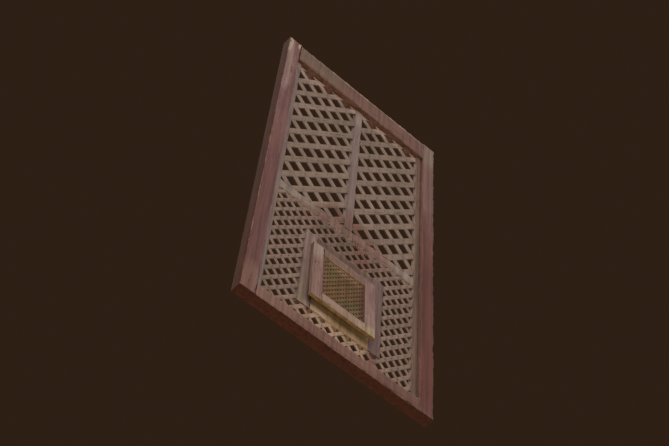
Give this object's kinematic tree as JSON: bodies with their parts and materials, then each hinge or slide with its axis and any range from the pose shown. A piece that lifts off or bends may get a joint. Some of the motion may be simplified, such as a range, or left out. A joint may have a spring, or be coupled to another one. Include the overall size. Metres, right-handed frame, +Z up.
{
  "type": "mashrabiya screen",
  "caption": "Tall timber wall screen: heavy outer frame, coarse diagonal lath lattice above, fine lattice below around a small top-hung hatch.",
  "frame": {"origin": "middle of the sill rail's flat back face, which lies against the wall", "axes": "+Z up, +Y into the wall, -Y is the front, +X to the right seen from the front"},
  "size_m": [1.3, 0.0886, 2.65],
  "materials": {
    "frame_timber": "weathered matt paint",
    "divider_timber": "weathered matt paint",
    "coarse_lath": "weathered matt paint",
    "fine_lath": "weathered matt paint",
    "surround_timber": "weathered matt paint",
    "leaf_timber": "weathered matt paint",
    "infill_lath": "weathered matt paint",
    "iron": "rusty matt"
  },
  "bodies": {
    "root": {"head_rail": "frame_timber", "sill_rail": "frame_timber", "left_stile": "frame_timber", "right_stile": "frame_timber", "centre_mullion": "divider_timber", "mid_rail": "divider_timber", "upper_left_strip": "divider_timber", "upper_right_strip": "divider_timber", "lower_left_strip": "divider_timber", "lower_right_strip": "divider_timber", "upper_left_lattice": "coarse_lath", "upper_right_lattice": "coarse_lath", "lower_left_lattice": "fine_lath", "lower_right_lattice": "fine_lath", "lower_top_lattice": "fine_lath", "lower_foot_lattice": "fine_lath", "surround_left_post": "surround_timber", "surround_right_post": "surround_timber", "surround_head": "surround_timber", "surround_sill": "surround_timber", "leaf_left_stile": "leaf_timber", "leaf_right_stile": "leaf_timber", "leaf_top_rail": "leaf_timber", "leaf_bottom_rail": "leaf_timber", "leaf_lattice": "infill_lath", "left_hinge": "iron", "right_hinge": "iron"}
  },
  "joints": []
}
